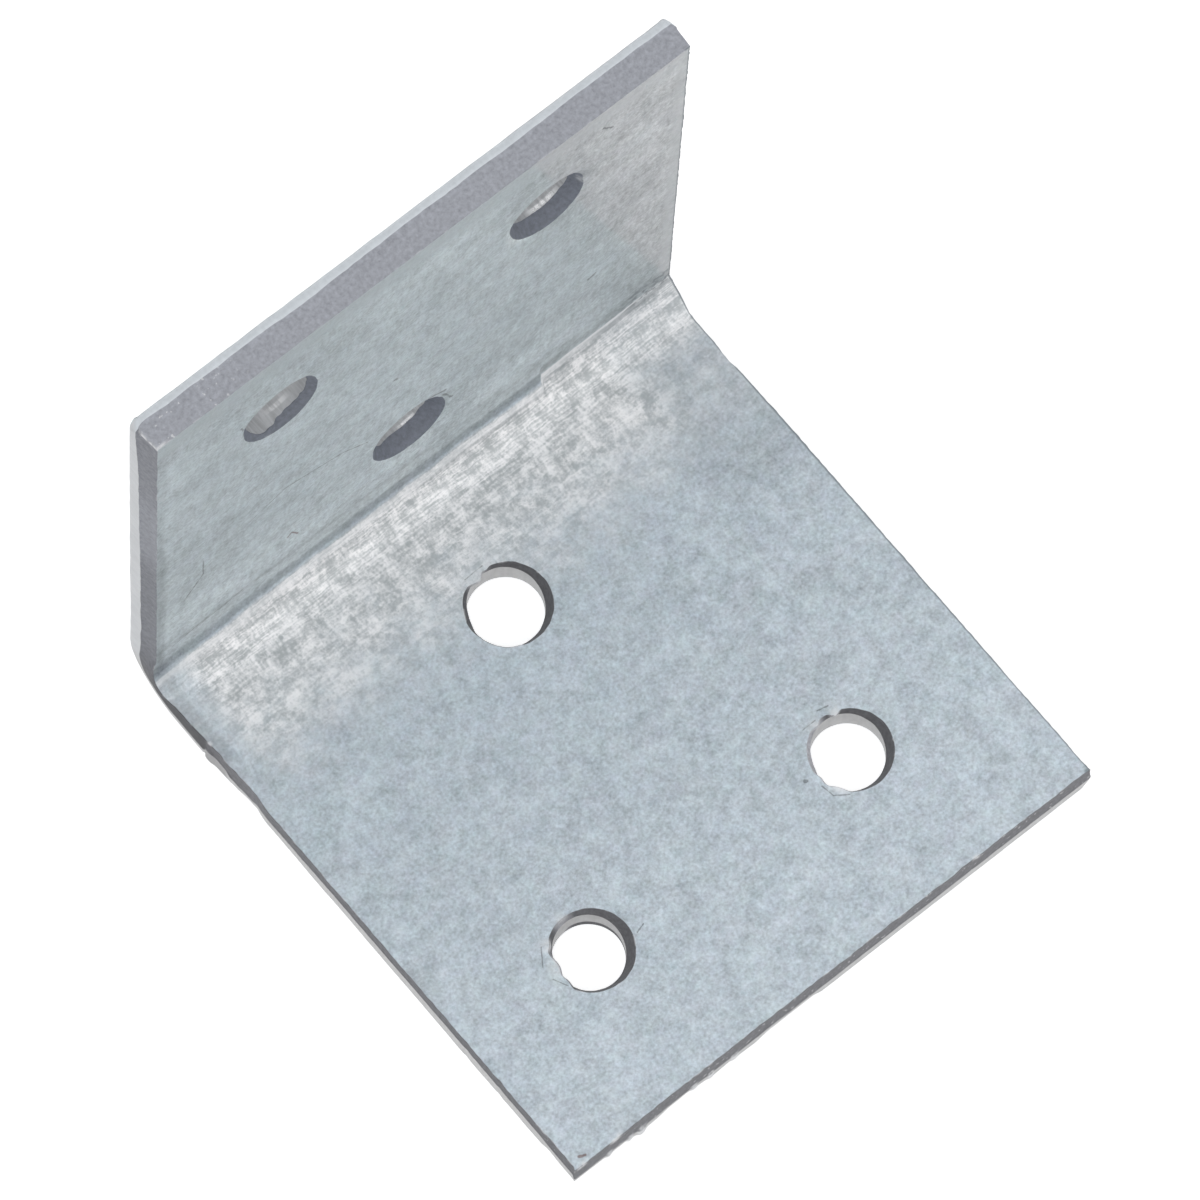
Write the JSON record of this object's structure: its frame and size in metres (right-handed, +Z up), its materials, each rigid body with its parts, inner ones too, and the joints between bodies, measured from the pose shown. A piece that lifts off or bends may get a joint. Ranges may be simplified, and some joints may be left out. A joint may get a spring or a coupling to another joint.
{
  "type": "angle bracket",
  "caption": "Right-angle bracket folded from thick zinc-coated steel sheet, with a triangle of punched round screw holes in each leg, for joining timber or framing at a corner.",
  "frame": {"origin": "middle of the footprint, on the outside face of the flat leg that rests on the surface", "axes": "+Z up along the upright leg, +Y along the flat leg away from the fold, X along the fold"},
  "size_m": [0.0504, 0.0524, 0.052],
  "materials": {
    "zinc_coated_steel": "hot-dip zinc with a fine mottled spangle, satin, brushed along the fold on the upright leg"
  },
  "bodies": {
    "root": {"bracket": "zinc_coated_steel"}
  },
  "joints": []
}
